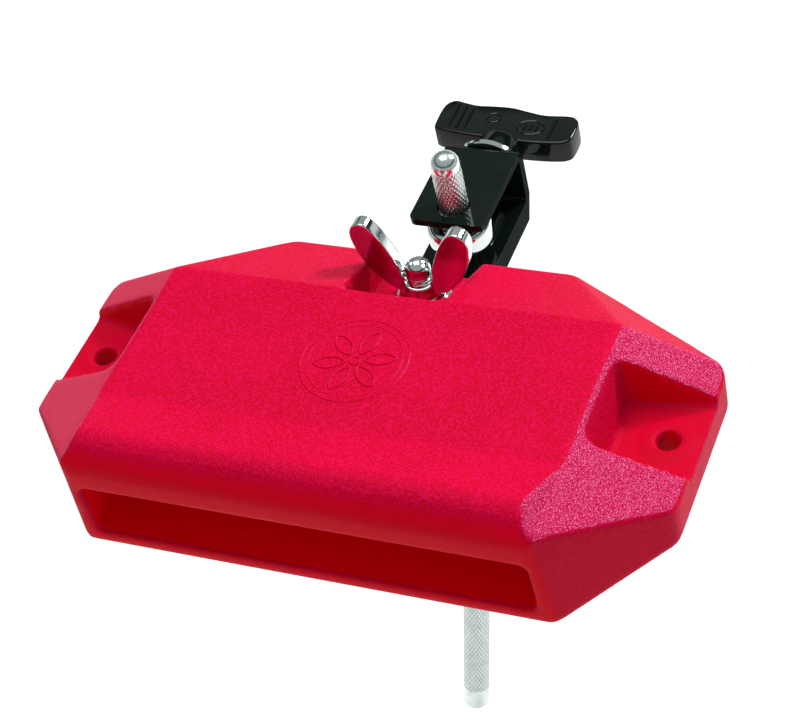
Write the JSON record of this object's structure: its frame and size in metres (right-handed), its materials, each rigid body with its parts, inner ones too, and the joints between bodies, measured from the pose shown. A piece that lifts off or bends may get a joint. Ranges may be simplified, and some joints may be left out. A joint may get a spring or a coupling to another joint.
{
  "type": "percussion block with rod clamp",
  "caption": "Hollow moulded percussion block with a front sound slot, clamped by a wing nut and a T-handle eye-bolt bracket to a knurled, slightly bent mounting rod.",
  "frame": {"origin": "midway between the two end holes, in the plane of the block's underside", "axes": "+X along the block, +Y from the sound slot towards the clamp, +Z out of the playing face"},
  "size_m": [0.2, 0.1904, 0.2397],
  "materials": {
    "red_plastic": "fine pebbled moulded plastic",
    "chrome": "bright chrome plate",
    "black_metal": "gloss black powder coat",
    "steel": "plated steel, knurled",
    "black_plastic": "gloss black moulded plastic"
  },
  "bodies": {
    "rod": {"rod": "steel"},
    "clamp": {"bracket": "black_metal", "mounting_bolt": "chrome", "clamp_washer": "chrome"},
    "block": {"block": "red_plastic"},
    "nut_lift": {"flat_washer": "chrome"},
    "wing_nut": {"wing_nut": "chrome"},
    "eye_bolt": {"eye_bolt": "chrome"},
    "handle": {"handle": "black_plastic", "handle_nut": "chrome"}
  },
  "joints": [
    {"name": "clamp_slide", "type": "slide", "parent": "rod", "child": "clamp", "axis": [0, 0, 1], "range_m": [-0.012, 0.014]},
    {"name": "block_swivel", "type": "hinge", "parent": "clamp", "child": "block", "pos_m": [0, 0.044, 0.012], "axis": [0, 0, 1], "range_deg": [-18, 18]},
    {"name": "nut_lift", "type": "slide", "parent": "clamp", "child": "nut_lift", "axis": [0, 0, 1], "range_m": [0, 0.0025]},
    {"name": "nut_turn", "type": "hinge", "parent": "nut_lift", "child": "wing_nut", "pos_m": [0, 0.044, 0.02], "axis": [0, 0, 1], "range_deg": [0, 725]},
    {"name": "eye_travel", "type": "slide", "parent": "clamp", "child": "eye_bolt", "axis": [0, 1, 0], "range_m": [-0.0008, 0]},
    {"name": "handle_turn", "type": "hinge", "parent": "clamp", "child": "handle", "pos_m": [0, 0.11, 0.0157], "axis": [0, 1, 0], "range_deg": [0, 235]}
  ],
  "couplings": [
    {"joint": "nut_turn", "follows": "nut_lift", "rad_per_m": 5026.5},
    {"joint": "handle_turn", "follows": "eye_travel", "rad_per_m": -5026.5}
  ]
}
